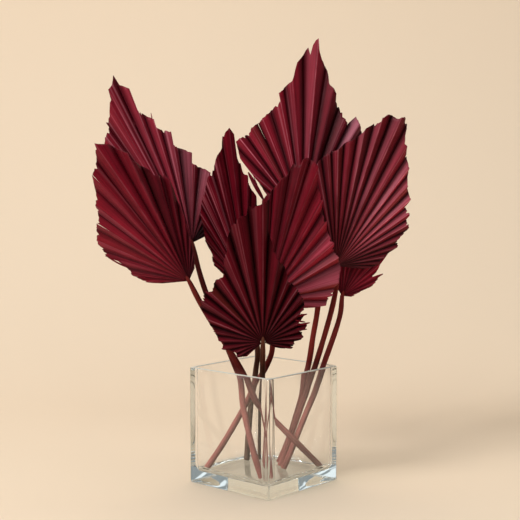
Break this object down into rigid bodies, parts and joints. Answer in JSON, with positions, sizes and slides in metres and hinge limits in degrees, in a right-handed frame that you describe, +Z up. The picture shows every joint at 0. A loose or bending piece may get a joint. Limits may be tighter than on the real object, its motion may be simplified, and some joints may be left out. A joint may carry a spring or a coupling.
{
  "type": "dried fan palm leaves in a glass vase",
  "caption": "Trimmed, pleated, dyed fan palm leaves on long petioles standing loose in a square clear glass vase with a thick base.",
  "frame": {"origin": "centre of the vase's flat underside", "axes": "+Z up, -Y towards the front view, +X to the right in the front view; the vase stands with a corner towards the front"},
  "size_m": [0.3035, 0.1473, 0.4307],
  "materials": {
    "glass": "clear, polished",
    "dyed_leaf": "satin, dried and dyed burgundy leaf with fine fibres"
  },
  "bodies": {
    "root": {"vase": "glass", "leaf_back_left": "dyed_leaf", "leaf_front_left": "dyed_leaf", "leaf_centre_left": "dyed_leaf", "leaf_front_low": "dyed_leaf", "leaf_centre": "dyed_leaf", "leaf_top": "dyed_leaf", "leaf_right": "dyed_leaf", "leaf_right_low": "dyed_leaf"}
  },
  "joints": []
}
